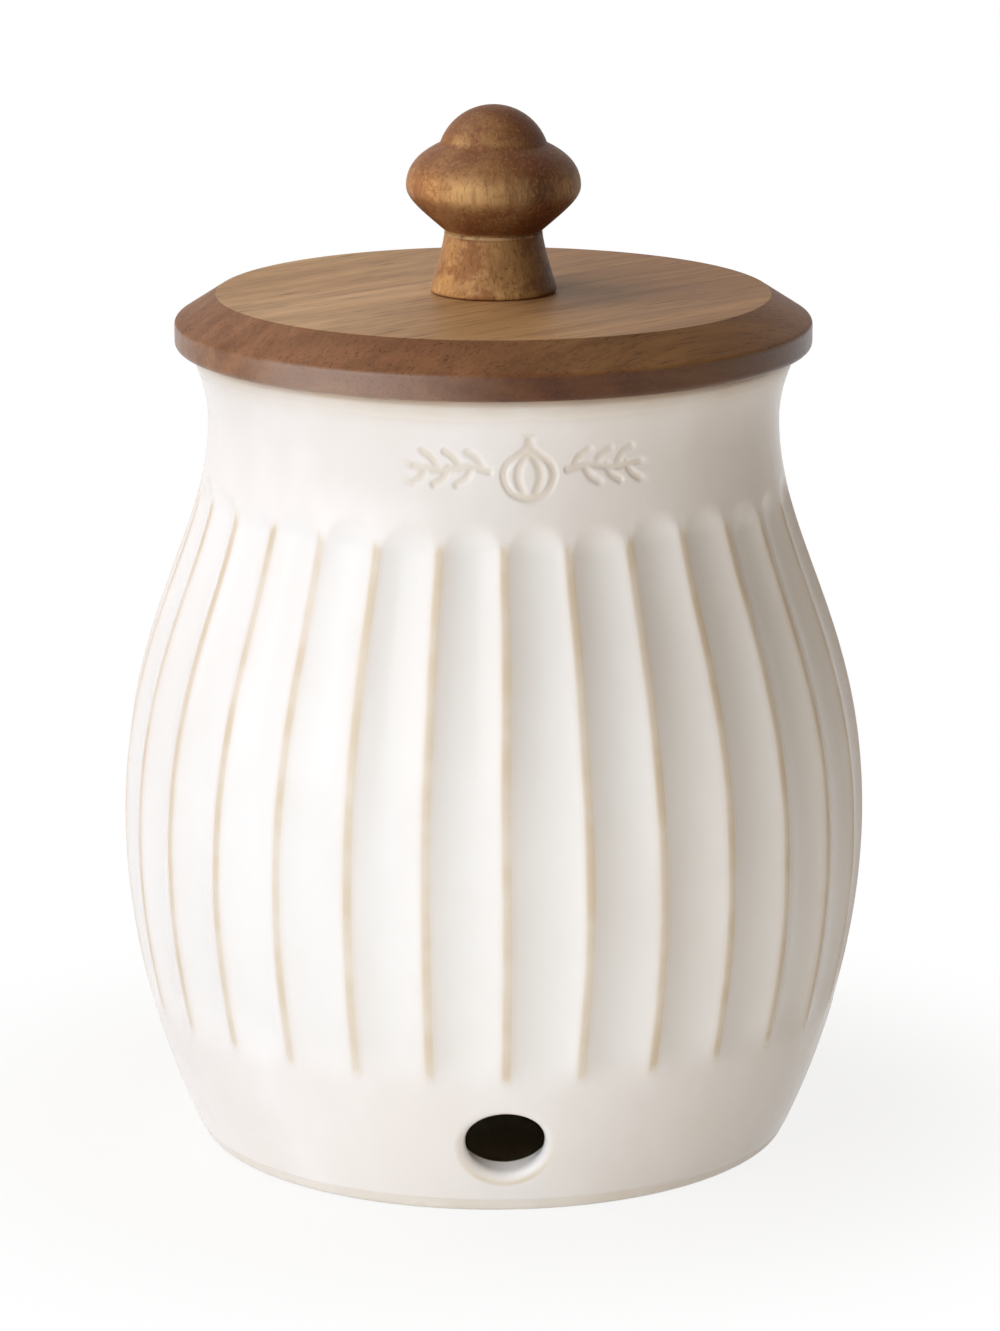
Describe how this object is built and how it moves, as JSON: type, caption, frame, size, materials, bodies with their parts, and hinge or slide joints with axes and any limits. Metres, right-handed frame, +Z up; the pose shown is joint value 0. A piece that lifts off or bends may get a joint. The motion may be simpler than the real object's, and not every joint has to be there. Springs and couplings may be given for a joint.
{
  "type": "garlic keeper",
  "caption": "Fluted stoneware garlic keeper: rounded belly, flared mouth, round vents near the foot, and a lift-off wooden lid with a turned knob.",
  "frame": {"origin": "middle of the foot ring, on the surface that the jar stands on", "axes": "+Z up along the jar's axis; the front vent faces -Y; +X is to the right seen from the front"},
  "size_m": [0.1354, 0.136, 0.19],
  "materials": {
    "stoneware_glaze": "cream reactive glaze, beige where it breaks over ridges and edges",
    "lid_wood": "oiled acacia, satin",
    "knob_wood": "oiled turned wood, satin",
    "silicone": "translucent white silicone, matt",
    "zinc_steel": "zinc plated"
  },
  "bodies": {
    "jar": {"jar": "stoneware_glaze"},
    "seal": {"lid_gasket": "silicone"},
    "lid": {"lid_board": "lid_wood", "knob": "knob_wood", "knob_screw": "zinc_steel", "screw_washer": "zinc_steel"}
  },
  "joints": [
    {"name": "lid_lift", "type": "slide", "parent": "jar", "child": "seal", "axis": [0, 0, 1], "range_m": [0, 0.06]},
    {"name": "lid_turn", "type": "hinge", "parent": "seal", "child": "lid", "pos_m": [0, 0, 0.1466], "axis": [0, 0, 1], "continuous": true}
  ]
}
